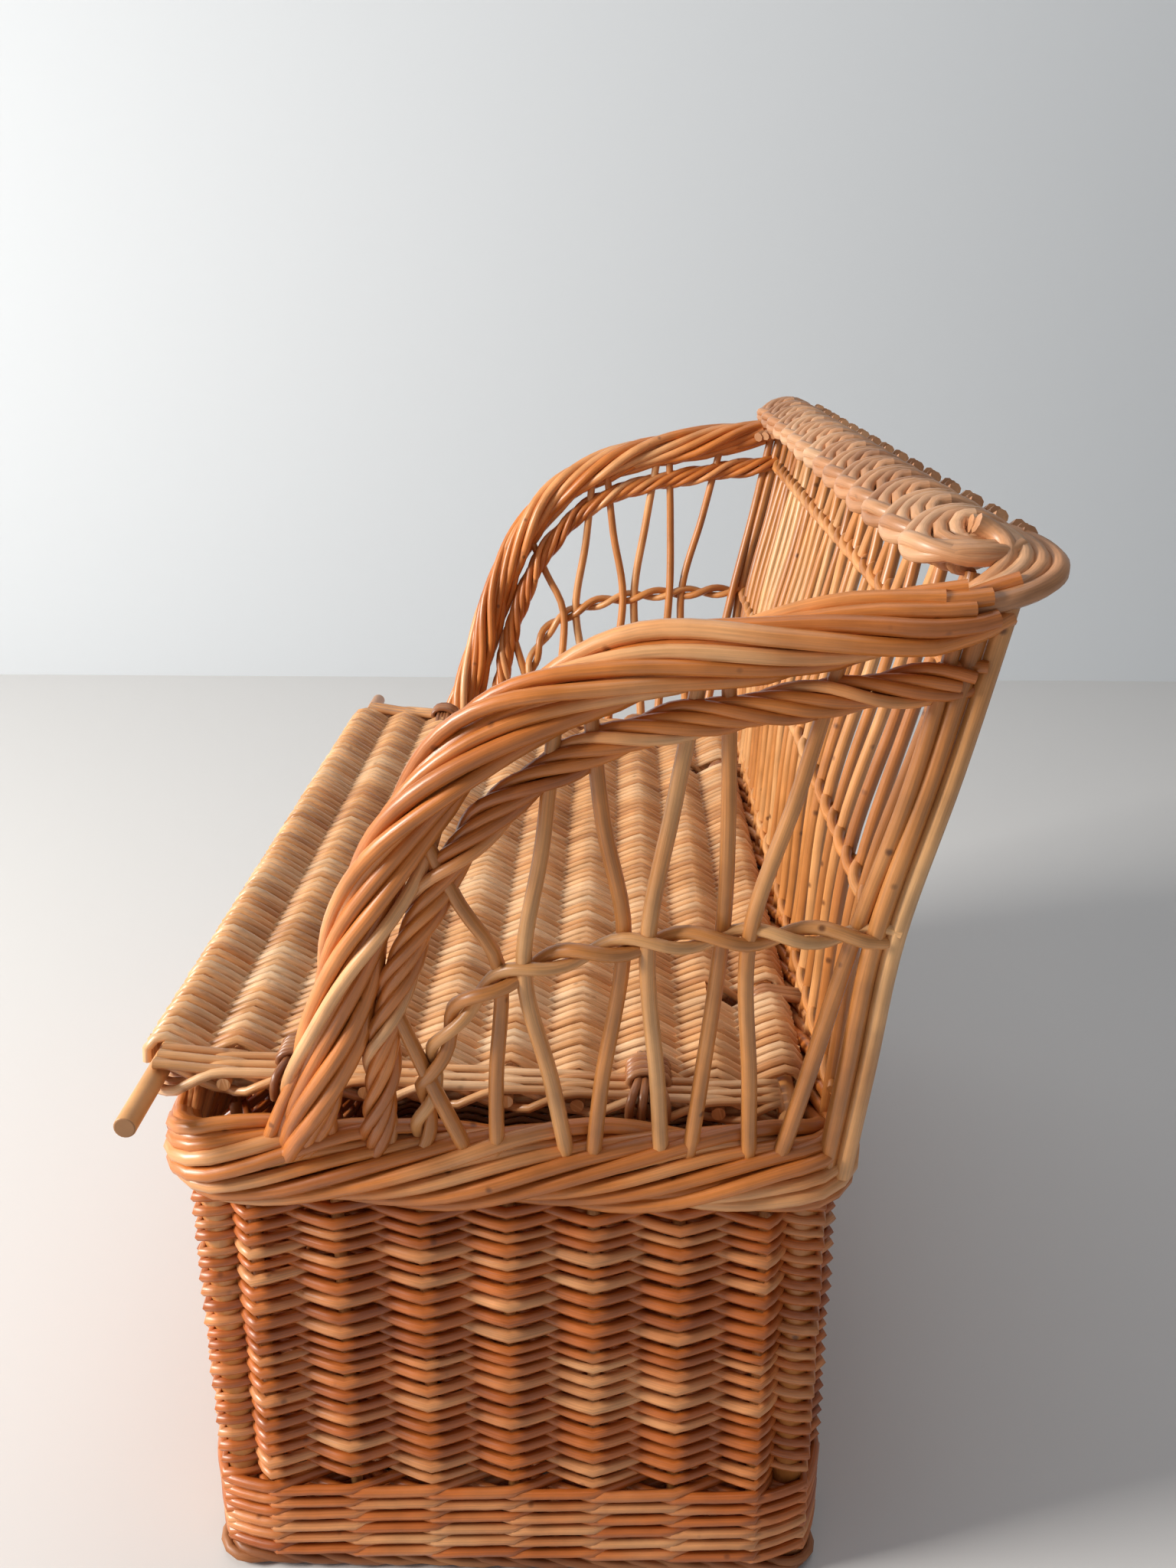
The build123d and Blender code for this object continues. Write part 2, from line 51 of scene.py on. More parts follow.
STEPS = 6  # a weaver's points from one stake to the next
ROD_TONE = 0.32  # how much of the tone is each rod's own
PATCH_TONE = 0.66  # how much comes from patches that pass over all the rods
HINGE = (0, 0.146, 0.292)  # the middle of the lid's back stick
LOOPS_AT = 0.209  # the X of the hinge loops, on both sides
Colour = tuple[float, float, float]
Line = list[Vector]
Rows = list[tuple[float, float, float]]
Socket = bpy.types.NodeSocket


class Body(Enum):
    """The two bodies that a piece can ride on."""

    CHEST = "chest"
    LID = "lid"


class Side(Enum):
    """The chest's two ends, as the sign of X."""

    RIGHT = 1
    LEFT = -1


# Finishes


def lin(red: int, green: int, blue: int) -> Colour:
    """Turns a colour as seen on a screen, 0 to 255, into the shader's linear one."""
    parts = (red / 255, green / 255, blue / 255)
    return tuple(c / 12.92 if c <= 0.04045 else ((c + 0.055) / 1.055) ** 2.4 for c in parts)


@dataclass
class Shading:
    """A material's nodes, added one by one."""

    tree: bpy.types.NodeTree

    def add(self, kind: str, wires: dict | None = None, values: dict | None = None, **settings: str) -> bpy.types.Node:
        """Adds a node.

        Args:
            kind: Its type, without the word that all of them start with.
            wires: The socket that feeds each of its inputs.
            values: The constants of its other inputs.
            **settings: Its own settings.

        Returns:
            The node.
        """
        node = self.tree.nodes.new("ShaderNode" + kind)
        for key, setting in settings.items():
            setattr(node, key, setting)
        for key, value in (values or {}).items():
            node.inputs[key].default_value = value
        for key, socket in (wires or {}).items():
            self.tree.links.new(socket, node.inputs[key])
        return node

    def noise(self, vector: Socket, scale: float, detail: float) -> Socket:
        """Adds a noise that reads some coordinates, and returns its value."""
        return self.add("TexNoise", {"Vector": vector}, {"Scale": scale, "Detail": detail}).outputs["Fac"]

    def shaded(self, base: Socket, noise: Socket, low: float, high: float, factor: float) -> Socket:
        """Multiplies a colour by a noise whose middle range is spread over low to high.

        Args:
            base: The colour.
            noise: The noise.
            low: What its dark end multiplies by.
            high: What its light end multiplies by.
            factor: How strong the effect is.

        Returns:
            The shaded colour.
        """
        ends = {"From Min": 0.3, "From Max": 0.7, "To Min": low, "To Max": high}
        grey = self.add("MapRange", {"Value": noise}, ends).outputs[0]
        wires = {"A": base, "B": grey}
        return self.add("Mix", wires, {"Factor": factor}, data_type="RGBA", blend_type="MULTIPLY").outputs["Result"]

    def ramp(self, value: Socket, *stops: tuple[float, Colour]) -> Socket:
        """Turns a value into a colour.

        Args:
            value: The value.
            *stops: Places from 0 to 1 and their colours, in order.

        Returns:
            The colour.
        """
        node = self.add("ValToRGB", {0: value})
        first, *inner, last = stops
        for element, (place, colour) in zip(list(node.color_ramp.elements), (first, last)):
            element.position = place
            element.color = (*colour, 1)
        for place, colour in inner:
            node.color_ramp.elements.new(place).color = (*colour, 1)
        return node.outputs[0]


@dataclass(frozen=True)
class Willow:
    """Varnished willow: tones that change from rod to rod, streaks along the rod, knots and dark nicks."""

    name: str
    slot: str
    dark: Colour
    middle: Colour
    pale: Colour
    roughness: float = 0.36
    knots: float = 0.55
    coat: float = 0.25

    def material(self) -> bpy.types.Material:
        """Makes the node material, once.

        Returns:
            The material.
        """
        name = self.name + "_varnished"
        found = bpy.data.materials.get(name)
        if found:
            return found
        mat = bpy.data.materials.new(name)
        mat.use_nodes = True
        shading = Shading(mat.node_tree)
        coordinates = shading.add("TexCoord").outputs
        place = coordinates["Object"]

        island = shading.add("NewGeometry").outputs["Random Per Island"]
        patches = shading.noise(place, 9.0, 3.0)
        base = shading.add("Math", {0: patches}, {1: PATCH_TONE}, operation="MULTIPLY").outputs[0]
        tone = shading.add("Math", {0: island, 2: base}, {1: ROD_TONE}, operation="MULTIPLY_ADD").outputs[0]
        plain = shading.ramp(tone, (0.12, self.dark), (0.5, self.middle), (0.86, self.pale))

        along_rod = shading.add("Mapping", {"Vector": coordinates["UV"]}, {"Scale": (7.0, 26.0, 1.0)}).outputs[0]
        streak = shading.noise(along_rod, 1.0, 4.0)
        blotch = shading.noise(place, 42.0, 5.0)
        stained = shading.shaded(shading.shaded(plain, streak, 0.72, 1.12, 0.8), blotch, 0.62, 1.2, 0.5)

        spots = shading.add("TexVoronoi", {"Vector": place}, {"Scale": 46.0, "Randomness": 1.0})
        knot = shading.ramp(spots.outputs["Distance"], (0.045, (1, 1, 1)), (0.11, (0, 0, 0)))
        amount = shading.add("Math", {0: knot}, {1: self.knots}, operation="MULTIPLY").outputs[0]
        nick = (*[c * 0.35 for c in self.dark], 1)
        final = shading.add("Mix", {}, {"B": nick}, data_type="RGBA")
        mat.node_tree.links.new(amount, final.inputs["Factor"])
        mat.node_tree.links.new(stained, final.inputs["A"])

        ends = {"To Min": self.roughness - 0.08, "To Max": self.roughness + 0.16}
        rough = shading.add("MapRange", {"Value": blotch}, ends)
        grain = shading.add("Bump", {"Height": streak}, {"Strength": 0.28, "Distance": 0.0006})
        wires = {"Height": blotch, "Normal": grain.outputs[0]}
        lumps = shading.add("Bump", wires, {"Strength": 0.35, "Distance": 0.0012})

        shader = mat.node_tree.nodes["Principled BSDF"]
        mat.node_tree.links.new(final.outputs["Result"], shader.inputs["Base Color"])
        mat.node_tree.links.new(rough.outputs[0], shader.inputs["Roughness"])
        mat.node_tree.links.new(lumps.outputs[0], shader.inputs["Normal"])
        shader.inputs["Coat Weight"].default_value = self.coat
        shader.inputs["Coat Roughness"].default_value = 0.28
        return mat


WALL = Willow("wall_willow", "wall_willow", lin(140, 62, 20), lin(202, 110, 44), lin(246, 188, 130))
BASE = Willow(
    "base_willow", "base_willow", lin(128, 70, 34), lin(168, 102, 54), lin(200, 142, 88), roughness=0.5, coat=0.1
)
SEAT = Willow("lid_willow", "lid_willow", lin(176, 108, 58), lin(230, 170, 112), lin(250, 216, 174), knots=0.45)
ROLLED = Willow("border_willow", "border_willow", lin(160, 82, 28), lin(216, 130, 58), lin(248, 202, 148), knots=0.7)
PLAITED = Willow(
    "plait_willow", "border_willow", lin(166, 108, 68), lin(206, 148, 102), lin(232, 188, 146), roughness=0.42
)
STICK = Willow("rod_willow", "rod_willow", lin(156, 86, 34), lin(208, 136, 70), lin(242, 192, 134), knots=0.85)
CANE = Willow("cane", "cane", lin(118, 66, 36), lin(164, 104, 62), lin(200, 146, 98), knots=0.3)
CUT_END = Willow(
    "cut_willow", "rod_willow", lin(120, 74, 42), lin(166, 114, 72), lin(200, 150, 106), roughness=0.7, coat=0.0
)


# Pieces


def settle(name: str, mesh: bpy.types.Mesh, body: Body, nodes: tuple[str, ...]) -> None:
    """Puts a mesh in the scene as a piece that rides.

    Args:
        name: The piece's name.
        mesh: Its mesh.
        body: The body that it rides on.
        nodes: The nodes that it stands for.
    """
    piece = bpy.data.objects.new(name, mesh)
    bpy.context.scene.collection.objects.link(piece)
    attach(piece, body.value)
    if nodes:
        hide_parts(*nodes)


def settle_sawn(name: str, shape: bmesh.types.BMesh, axis: int, rounding: float, body: Body, node: str) -> None:
    """Rounds the sawn ends of some thick sticks, gives the cuts their finish and lets the sticks ride.

    Args:
        name: The piece's name.
        shape: The sticks' shape, which is freed.
        axis: The axis that they run along, 0 for X, where both ends show, or 2 for Z, where the top does.
        rounding: How far their rims are rounded.
        body: The body that they ride on.
        node: The node that they stand for.
    """
    upright = axis == 2
    rims = [
        e for e in shape.edges
        if abs(e.verts[0].co[axis] - e.verts[1].co[axis]) < 1e-5 and not (upright and e.verts[0].co.z < 0.2)
    ]
    bmesh.ops.bevel(shape, geom=rims, offset=rounding, segments=2, profile=0.5, affect="EDGES", material=-1)
    for face in shape.faces:
        along = face.normal[axis]
        face.smooth = abs(along) < 0.5
        face.material_index = 1 if (along if upright else abs(along)) > 0.9 else 0
    if not upright:
        bmesh.ops.transform(shape, matrix=Lid().place(), verts=shape.verts)
    bmesh.ops.recalc_face_normals(shape, faces=shape.faces)
    mesh = bpy.data.meshes.new(name)
    shape.to_mesh(mesh)
    shape.free()
    for finish in (STICK, CUT_END):
        mesh.materials.append(finish.material())
    settle(name, mesh, body, (node,))


# Rods


@dataclass
class Rod:
    """One willow rod: the line that it follows, its radius at the butt and how much it loses to its tip."""

    line: Line
    radius: float
    taper: float


def flow(points: Line, step: float = 0.008) -> Line:
    """Draws one smooth line through some points.

    Args:
        points: The points, in order.
        step: About how far apart the line's own points lie.

    Returns:
        The line's points.
    """
    line = []
    full = [points[0] * 2 - points[1], *points, points[-1] * 2 - points[-2]]
    for a, b, c, d in zip(full, full[1:], full[2:], full[3:]):
        count = max(1, round((c - b).length / step))
        for i in range(count):
            t = i / count
            line.append(
                0.5 * ((2 * b) + (c - a) * t + (2 * a - 5 * b + 4 * c - d) * t * t + (3 * b - a - 3 * c + d) * t**3)
            )
    line.append(points[-1].copy())
    return line


def wavering(points: Line, rng: random.Random, amount: float) -> Line:
    """Moves a rod's inner points a little, as no rod is quite straight."""
    inner = [p + Vector([rng.uniform(-amount, amount) for _ in range(3)]) for p in points[1:-1]]
    return [points[0], *inner, points[-1]]


def near_share(t: float) -> float:
    """How far a weaver still keeps to the stake behind it, at a share of the way to the next."""
    soft, sharp = 0.5 + 0.5 * math.cos(math.pi * t), 1 - t
    return 0.25 * soft + 0.75 * sharp


def stroke_slant(beat: float, rise: float) -> float:
    """How far a rod of waling lies off its row: it slants over its stroke and turns back quickly behind a stake."""
    return rise * (1 - 2 * beat) if beat > 0.12 else rise * (beat / 0.06 - 1)


@dataclass
class RodWork:
    """Rods that become one piece."""

    name: str
    finish: Willow
    body: Body
    nodes: tuple[str, ...] = ()
    facets: int = 1
    rods: list[Rod] = field(default_factory=list)

    def add(self, line: Line, radius: float, taper: float = 0.0) -> None:
        """Adds one rod, with its radius at the butt and the share of it that is lost to the tip."""
        self.rods.append(Rod(line, radius, taper))

    def build(self) -> None:
        """Makes the rods' mesh, with capped ends in a cut finish, and lets it ride."""
        curve = bpy.data.curves.new(self.name, "CURVE")
        curve.dimensions = "3D"
        curve.bevel_depth = MM
        curve.bevel_resolution = self.facets
        curve.use_fill_caps = True
        for rod in self.rods:
            spline = curve.splines.new("POLY")
            spline.points.add(len(rod.line) - 1)
            last = max(1, len(rod.line) - 1)
            for i, (point, place) in enumerate(zip(spline.points, rod.line)):
                point.co = (*place, 1.0)
                point.radius = rod.radius / MM * (1 - rod.taper * i / last)
            spline.use_smooth = True
        maker = bpy.data.objects.new(self.name + "_line", curve)
        mesh = bpy.data.meshes.new_from_object(maker)
        bpy.data.objects.remove(maker)
        bpy.data.curves.remove(curve)
        mesh.name = self.name
        mesh.materials.clear()
        for finish in (self.finish, CUT_END):
            mesh.materials.append(finish.material())
        shape = bmesh.new()
        shape.from_mesh(mesh)
        for face in shape.faces:
            cap = len(face.verts) > 4
            face.material_index = 1 if cap else 0
            face.smooth = not cap
        bmesh.ops.recalc_face_normals(shape, faces=shape.faces)
        shape.to_mesh(mesh)
        shape.free()
        settle(self.name, mesh, self.body, self.nodes)


@dataclass
class Rope:
    """Groups of rods laid round a line, as in a rolled border, a rail or a twined band."""

    groups: int
    rods: int  # in each group
    radius: float  # of a rod
    wide: float
    high: float
    lay: float  # the length of one whole turn
    turn: float = 1.0  # 1 or -1, the way it twists
    start: float = 0.0  # the angle at which it starts
    ragged: float = 0.0  # the share by which a rod strays in and out
    sink: float = 0.12  # the share by which the groups dip as they cross
    shingle: float = 0.0  # the share by which a group's last rod stands over its first
    seam: float | None = None  # the angle at which strokes end and are tucked in
    stepped: int = 0  # how many points short a rod may end
    packing: float = 1.86  # between a group's neighbouring rods, in radii
    waves: float = 31.0  # of straying, in radians for each metre
    tuck: float = 0.34  # the share by which a stroke's ends dip under

    def lines(self, path: Line, outward: Line, ring: bool) -> list[tuple[Line, float]]:
        """Works out where each rod runs.

        Args:
            path: The rope's middle line.
            outward: For each of its points, the direction in which the rope is wide.
            ring: True where the path ends at its own start.

        Returns:
            Each rod's line and radius.
        """
        rng = random.Random(len(path) * 7 + self.groups)
        lengths = [0.0]
        for a, b in zip(path, path[1:]):
            lengths.append(lengths[-1] + (b - a).length)
        turns = lengths[-1] / self.lay
        if ring:
            turns = max(1, round(turns * self.groups)) / self.groups
        reach_out = self.wide / 2 - self.radius
        reach_up = self.high / 2 - self.radius
        mean = math.sqrt((reach_out**2 + reach_up**2) / 2)
        gap = self.packing * self.radius / max(mean, self.radius)
        found = []
        for g in range(self.groups):
            for r in range(self.rods):
                loose = rng.uniform(0, math.tau)
                spots, lap = [], None
                last = len(path) - rng.randrange(self.stepped + 1)
                for i, place in enumerate(path[:last]):
                    ahead = path[i + 1] if i + 1 < len(path) else (path[1] if ring else path[i])
                    behind = path[i - 1] if i > 0 else (path[-2] if ring else path[i])
                    along = (ahead - behind).normalized()
                    out = (outward[i] - along * outward[i].dot(along)).normalized()
                    share = lengths[i] / lengths[-1]
                    angle = self.turn * math.tau * turns * share + self.start
                    angle += math.tau * g / self.groups + (r - (self.rods - 1) / 2) * gap
                    lift = 1 - self.sink * (0.5 + 0.5 * math.cos(math.tau * share * turns * 2 + g * 2.1))
                    lift += self.ragged * math.sin(loose + lengths[i] * self.waves)
                    lift += self.shingle * (2 * r + 1 - self.rods) / self.rods
                    away = out * (reach_out * lift * math.cos(angle))
                    away += along.cross(out) * (reach_up * lift * math.sin(angle))
                    if self.seam is not None:
                        here = math.floor((angle * self.turn - self.seam) / math.tau)
                        if lap is not None and here != lap and len(spots) > 6:
                            found.append(self.tucked(spots, rng))
                            spots = spots[-3:]
                        lap = here
                    spots.append((place, away))
                if len(spots) > 3:
                    found.append(self.tucked(spots, rng))
        return found

    def tucked(self, spots: list[tuple[Vector, Vector]], rng: random.Random) -> tuple[Line, float]:
        """Makes one stroke of a rope, whose ends are tucked under its neighbours where the rope has seams.

        Args:
            spots: For each point, its place on the rope's middle line and its way out from there.
            rng: The seeded source of chance.

        Returns:
            The stroke's line and its radius.
        """
        line = []
        for k, (place, away) in enumerate(spots):
            edge = min(k, len(spots) - 1 - k)
            dip = self.tuck * max(0.0, 1 - edge / 4) if self.seam is not None else 0.0
            line.append(place + away * (1 - dip))
        return line, self.radius * rng.uniform(0.86, 1.1)

    def lay_on(self, work: RodWork, path: Line, outward: Line, ring: bool = False) -> None:
        """Adds the rope's rods to a piece, along a path that may be a ring."""
        for line, thick in self.lines(path, outward, ring):
            work.add(line, thick, 0.08)


# The box


def heading(degrees: float) -> Vector:
    """A level direction, from +X towards +Y."""
    angle = math.radians(degrees)
    return Vector((math.cos(angle), math.sin(angle), 0))


@dataclass
class Stop:
    """A stake or post that the weavers pass: its place, the way out, and how far off a weaver passes on each side."""

    place: Vector
    out: Vector
    reach: float
    inner: float

    def passing(self, side: float) -> float:
        """How far out a weaver passes, 1 being outside and -1 inside."""
        return side * (self.reach if side > 0 else self.inner)


@dataclass
class Basket:
    """The woven box: walls, waling, base, foot and rolled border."""

    length: float = 0.670  # between the corner posts' axes
    depth: float = 0.310
    wall_x: float = 0.3415  # of the stakes' axes
    wall_y: float = 0.1615
    outer_x: float = 0.35  # of the weave's outer face
    outer_y: float = 0.17
    pitch: float = 0.045
    foot: float = 0.012
    waled_to: float = 0.065
    waling_rows: int = 6
    top: float = 0.252
    weaver: float = 0.0031
    bulge: float = 0.0122  # how far out a weaver passes a stake
    row: float = 0.0045
    row_widths: tuple[float, ...] = (0.82, 0.92, 1.0, 1.05, 1.1)
    sag: float = 0.0006  # how far a row strays up or down
    stake: float = 0.0035
    post: float = 0.0095
    post_length: float = 0.272

    def stops(self) -> list[Stop]:
        """Lists the stakes and corner posts round the box, from the front's left end towards the right.

        Returns:
            The stops, once round.
        """
        inner = self.stake + self.weaver
        corner = self.post + self.weaver
        long_row = [(i - 7) * self.pitch for i in range(15)]
        short_row = [(i - 3) * self.pitch for i in range(7)]
        found = []
        for (x, y), row, (end_x, end_y) in (
            ((0, -1), long_row, (1, -1)),
            ((1, 0), short_row, (1, 1)),
            ((0, 1), long_row[::-1], (-1, 1)),
            ((-1, 0), short_row[::-1], (-1, -1)),
        ):
            out = Vector((x, y, 0))
            for at in row:
                place = Vector((x * self.wall_x + abs(y) * at, y * self.wall_y + abs(x) * at, 0))
                found.append(Stop(place, out, self.bulge, inner))
            place = Vector((end_x * self.length / 2, end_y * self.depth / 2, 0))
            found.append(Stop(place, Vector((end_x, end_y, 0)).normalized(), corner, corner))
        return found

    @staticmethod
    def passed(stops: list[Stop], outside: list[float]) -> Line:
        """Runs a weaver past some stops.

        Args:
            stops: The stops, in order.
            outside: For each, 1 where the weaver passes outside and -1 where it passes inside.

        Returns:
            The weaver's line, at height 0.
        """
        line = []
        for (here, side), (there, other) in zip(zip(stops, outside), zip(stops[1:], outside[1:])):
            for i in range(STEPS):
                t = i / STEPS
                out = here.out.lerp(there.out, t).normalized()
                share = near_share(t)
                off = here.passing(side) * share + there.passing(other) * (1 - share)
                line.append(here.place.lerp(there.place, t) + out * off)
        line.append(stops[-1].place + stops[-1].out * stops[-1].passing(outside[-1]))
        return line

    def weave(self) -> None:
        """Lays the plain weave of the walls, each row in a few rods with their ends tucked inside."""
        rng = random.Random(11)
        nodes = ("front_weave", "back_weave", "right_weave", "left_weave", "corner_weave")
        work = RodWork("wall_weave", WALL, Body.CHEST, nodes)
        stops = self.stops()
        count = len(stops)
        sag = [rng.uniform(-self.sag, self.sag) for _ in range(count)]
        height = self.waled_to
        row = 0
        fat = 1.0
        while height < self.top - self.row:
            row += 1
            if row % 2:
                fat = rng.choice(self.row_widths)
            height += self.row * fat
            start = 2 * rng.randrange(count // 2) + row % 2
            joins = sorted(rng.sample(range(2, count, 2), 3))
            for low, high in zip([0, *joins], [*joins, count]):
                run = [stops[(start + i) % count] for i in range(low, high + 1)]
                sides = [1.0 if (start + i + row) % 2 else -1.0 for i in range(low, high + 1)]
                line = self.passed(run, sides)
                stray = [rng.uniform(-self.sag, self.sag) + sag[(start + i) % count] for i in range(low, high + 2)]
                for i, point in enumerate(line):
                    part, share = divmod(i / STEPS, 1)
                    part = int(part)
                    point.z = height + (stray[part] * (1 - share) + stray[min(part + 1, len(stray) - 1)] * share)
                work.add(line, self.weaver * fat * rng.uniform(0.94, 1.08), rng.choice((0.0, 0.12)))
        work.build()

    def waling(self) -> None:
        """Lays the three-rod waling at the foot of the walls: over two stakes, behind one, in long slanting strokes."""
        rng = random.Random(5)
        work = RodWork("wall_waling", WALL, Body.CHEST)
        stops = self.stops()
        ring = [*stops, stops[0]]
        pitch = (self.waled_to - self.foot - 0.001) / self.waling_rows
        for row in range(self.waling_rows):
            base = self.foot + (row + 0.5) * pitch
            for strand in range(3):
                sides = [-1.0 if (i + strand + row) % 3 == 0 else 1.0 for i in range(len(ring))]
                line = self.passed(ring, sides)
                for i, point in enumerate(line):
                    slant = stroke_slant(((i / STEPS + strand + row) % 3) / 3, pitch * 0.42)
                    point.z = base - slant + rng.uniform(-0.00025, 0.00025)
                work.add(line, self.weaver * rng.uniform(0.92, 1.06))
        work.build()

    def posts(self) -> None:
        """Makes the four thick corner posts, a little rounded at the sawn top."""
        shape = bmesh.new()
        for x in (-self.length / 2, self.length / 2):
            for y in (-self.depth / 2, self.depth / 2):
                made = bmesh.ops.create_cone(
                    shape, cap_ends=True, segments=28, radius1=self.post, radius2=self.post * 0.97,
                    depth=self.post_length,
                )
                bmesh.ops.translate(shape, verts=made["verts"], vec=(x, y, self.foot + self.post_length / 2))
        settle_sawn("corner_post_sticks", shape, 2, 0.0011, Body.CHEST, "corner_posts")

    def rim_path(self, inset: float, corner: float, step: float = 0.012) -> tuple[Line, Line]:
        """Draws the ring round the box on which a border lies.

        Args:
            inset: How far it lies inside the weave's outer face.
            corner: The radius of its corners.
            step: About how far apart its points lie.

        Returns:
            The closed ring's points at height 0, and the way out at each.
        """
        x, y = self.outer_x - inset - corner, self.outer_y - inset - corner
        path, out = [], []
        corners = [(x, -y, -90), (x, y, 0), (-x, y, 90), (-x, -y, 180)]
        for (here_x, here_y, start), (next_x, next_y, following) in zip(corners, [*corners[1:], corners[0]]):
            for i in range(5):
                way = heading(start + 90 * i / 4)
                path.append(Vector((here_x, here_y, 0)) + way * corner)
                out.append(way)
            way = heading(following)
            near, far = path[-1], Vector((next_x, next_y, 0)) + way * corner
            count = round((far - near).length / step)
            for i in range(1, count):
                path.append(near.lerp(far, i / count))
                out.append(way)
        return [*path, path[0]], [*out, out[0]]

    def border(self) -> None:
        """Rolls the thick border round the rim, higher at the front, in long overlapping strokes."""
        nodes = ("border_front", "border_back", "border_right", "border_left")
        work = RodWork("rim_border", ROLLED, Body.CHEST, nodes, facets=2)
        path, out = self.rim_path(-0.0005, 0.022)
        for point in path:
            front = max(0.0, min(1.0, (-point.y - 0.12) / 0.05))
            point.z = 0.2755 + 0.0022 * front
        rope = Rope(
            groups=4, rods=4, radius=0.0042, wide=0.028, high=0.047, lay=0.36, turn=-1, ragged=0.05, sink=0.12,
            shingle=0.20, seam=-2.4,
        )
        rope.lay_on(work, path, out, ring=True)
        work.build()

    def foot_ring(self) -> None:
        """Rolls the foot border, flat enough underneath to stand on."""
        work = RodWork("foot_roll", BASE, Body.CHEST, ("foot_border",))
        path, out = self.rim_path(0.006, 0.012)
        for point in path:
            point.z = self.foot / 2
        rope = Rope(groups=3, rods=2, radius=0.0029, wide=0.021, high=self.foot, lay=0.13, sink=0.0)
        rope.lay_on(work, path, out, ring=True)
        work.build()


@dataclass
class Panel:
    """A flat woven panel: sticks along X and weavers across them, packed side by side."""

    name: str
    finish: Willow
    body: Body
    nodes: tuple[str, ...]
    sticks: list[float]
    stick_radius: list[float]
    half_length: float
    pitch: float
    weaver: float
    place: Matrix
    wrap: bool = True
    bulge: float = 0.0
    cut_short: int = 9  # the points that a weaver lacks where it stops short

    def wrapped(self, x: float, stick: int, reach: float, turns: tuple[int, ...], side: float) -> Line:
        """Bends a weaver round an outer stick, through angles in degrees that are mirrored where it runs below."""
        angles = [math.radians(degrees if side > 0 else -degrees) for degrees in turns]
        return [Vector((x, self.sticks[stick] + reach * math.cos(a), reach * math.sin(a))) for a in angles]

    def line(self, x: float, over: float) -> Line:
        """Runs one weaver across the sticks.

        Args:
            x: Where along the sticks it lies.
            over: 1 where it starts over the first stick, -1 where it starts under.

        Returns:
            Its line in the panel's own frame.
        """
        side = over
        reaches = [r + self.weaver + self.bulge for r in self.stick_radius]
        line = self.wrapped(x, 0, reaches[0], (200, 160, 120), side) if self.wrap else []
        for (here, near), (there, far) in zip(zip(self.sticks, reaches), zip(self.sticks[1:], reaches[1:])):
            for i in range(STEPS):
                t = i / STEPS
                share = near_share(t)
                line.append(Vector((x, here + (there - here) * t, side * (near * share - far * (1 - share)))))
            side = -side
        line.append(Vector((x, self.sticks[-1], side * reaches[-1])))
        return line + (self.wrapped(x, -1, reaches[-1], (60, 20, -20), side) if self.wrap else [])

    def build(self, gaps: list[tuple[float, float]]) -> None:
        """Weaves the panel.

        Args:
            gaps: Stretches along X where the weavers stop short of the last stick.
        """
        rng = random.Random(23)
        work = RodWork(self.name, self.finish, self.body, self.nodes)
        count = int(2 * self.half_length / self.pitch)
        for i in range(count + 1):
            x = -self.half_length + 2 * self.half_length * i / count
            line = self.line(x, 1.0 if i % 2 else -1.0)
            if any(low < x < high for low, high in gaps):
                line = line[:-self.cut_short]
            drift = rng.uniform(-0.0004, 0.0004)
            for j, point in enumerate(line):
                point.x += drift + 0.0005 * math.sin(j * 0.21 + i * 0.9)
            work.add([self.place @ p for p in line], self.weaver * rng.uniform(0.88, 1.08), 0.08)
        work.build()


def build_base() -> None:
    """Weaves the base across its sticks."""
    sticks = [(i - 2.5) * 0.050 for i in range(6)]
    edges = [-0.149, *sticks, 0.149]
    radii = [0.0005, *[0.0035] * 6, 0.0005]
    place = Matrix.Translation((0, 0, 0.0093))
    Panel(
        "base_panel", BASE, Body.CHEST, ("base_weave",), edges, radii, 0.329, 0.0051, 0.0026, place, wrap=False
    ).build([])


# The lid


